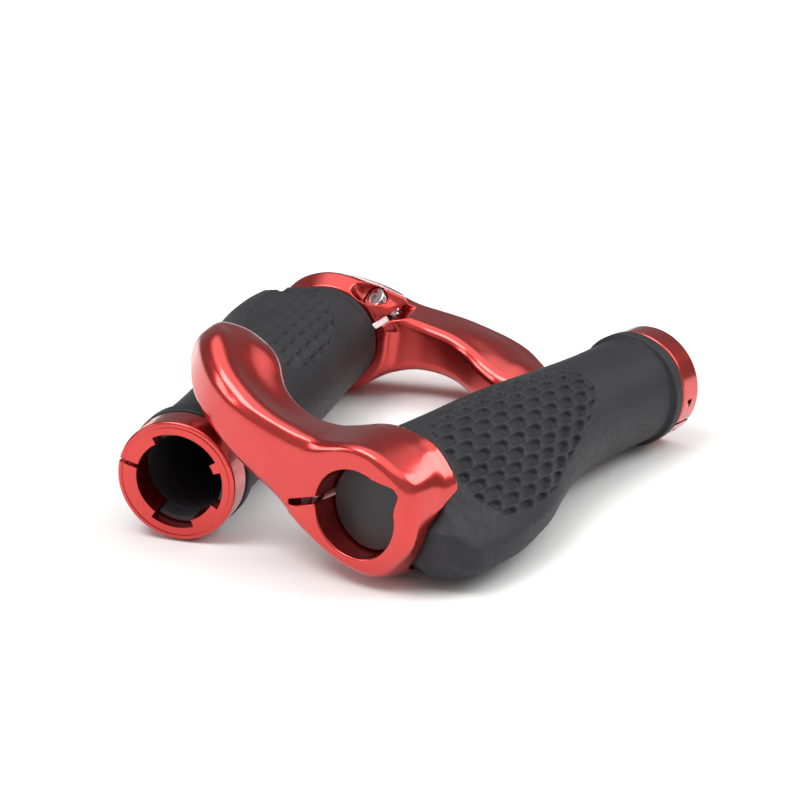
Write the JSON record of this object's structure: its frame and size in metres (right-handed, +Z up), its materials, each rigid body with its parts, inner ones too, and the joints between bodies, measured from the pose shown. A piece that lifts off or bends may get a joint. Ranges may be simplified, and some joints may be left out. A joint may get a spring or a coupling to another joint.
{
  "type": "bar end grips",
  "caption": "Pair of lock-on ergonomic handlebar grips with palm wings, red clamp-on bar ends, split lock rings and end plugs.",
  "frame": {"origin": "middle of the pair's footprint, on the surface that the grips lie on", "axes": "+X along the left grip's bar axis, inwards; +Z up from the surface"},
  "size_m": [0.1554, 0.158, 0.0548],
  "materials": {
    "grip_rubber": "matte moulded rubber",
    "sleeve_plastic": "moulded plastic",
    "anodised_red": "bright red anodised",
    "screw_steel": "zinc plated",
    "plug_plastic": "moulded plastic"
  },
  "bodies": {
    "right_grip": {"right_rubber_grip": "grip_rubber", "right_core_sleeve": "sleeve_plastic"},
    "right_lock_ring": {"right_lock_ring": "anodised_red"},
    "right_lock_ring_screw": {"right_lock_ring_screw": "screw_steel"},
    "right_bar_end": {"right_bar_end": "anodised_red"},
    "right_clamp_screw": {"right_clamp_screw": "screw_steel"},
    "right_end_plug": {"right_end_plug": "plug_plastic"},
    "left_grip": {"left_rubber_grip": "grip_rubber", "left_core_sleeve": "sleeve_plastic"},
    "left_lock_ring": {"left_lock_ring": "anodised_red"},
    "left_lock_ring_screw": {"left_lock_ring_screw": "screw_steel"},
    "left_bar_end": {"left_bar_end": "anodised_red"},
    "left_clamp_screw": {"left_clamp_screw": "screw_steel"},
    "left_end_plug": {"left_end_plug": "plug_plastic"}
  },
  "joints": [
    {"name": "left_grip_lift", "type": "slide", "parent": "right_grip", "child": "left_grip", "axis": [0, 0, 1], "range_m": [0, 0.12]},
    {"name": "right_ring_slide", "type": "slide", "parent": "right_grip", "child": "right_lock_ring", "axis": [-0.9366, -0.3502, -0.0157], "range_m": [0, 0.012]},
    {"name": "right_ring_screw_turn", "type": "hinge", "parent": "right_lock_ring", "child": "right_lock_ring_screw", "pos_m": [-0.07247, 0.0206, 0.02122], "axis": [0.0824, -0.2635, 0.9611], "continuous": true},
    {"name": "right_bar_end_slide", "type": "slide", "parent": "right_grip", "child": "right_bar_end", "axis": [0.9366, 0.3502, 0.0157], "range_m": [0, 0.022]},
    {"name": "right_clamp_screw_turn", "type": "hinge", "parent": "right_bar_end", "child": "right_clamp_screw", "pos_m": [0.05902, 0.03626, 0.02521], "axis": [0.6989, -0.2004, -0.6866], "continuous": true},
    {"name": "right_plug_slide", "type": "slide", "parent": "right_bar_end", "child": "right_end_plug", "axis": [0.9366, 0.3502, 0.0157], "range_m": [0, 0.02]},
    {"name": "left_ring_slide", "type": "slide", "parent": "left_grip", "child": "left_lock_ring", "axis": [0.9997, 0, -0.0227], "range_m": [0, 0.012]},
    {"name": "left_ring_screw_turn", "type": "hinge", "parent": "left_lock_ring", "child": "left_lock_ring_screw", "pos_m": [0.06875, -0.06149, 0.00955], "axis": [-0.0192, 0.5299, -0.8478], "continuous": true},
    {"name": "left_bar_end_slide", "type": "slide", "parent": "left_grip", "child": "left_bar_end", "axis": [-0.9997, 0, 0.0227], "range_m": [0, 0.022]},
    {"name": "left_clamp_screw_turn", "type": "hinge", "parent": "left_bar_end", "child": "left_clamp_screw", "pos_m": [-0.05976, -0.03078, 0.01924], "axis": [-0.5556, 0.224, 0.8007], "continuous": true},
    {"name": "left_plug_slide", "type": "slide", "parent": "left_bar_end", "child": "left_end_plug", "axis": [-0.9997, 0, 0.0227], "range_m": [0, 0.02]}
  ]
}
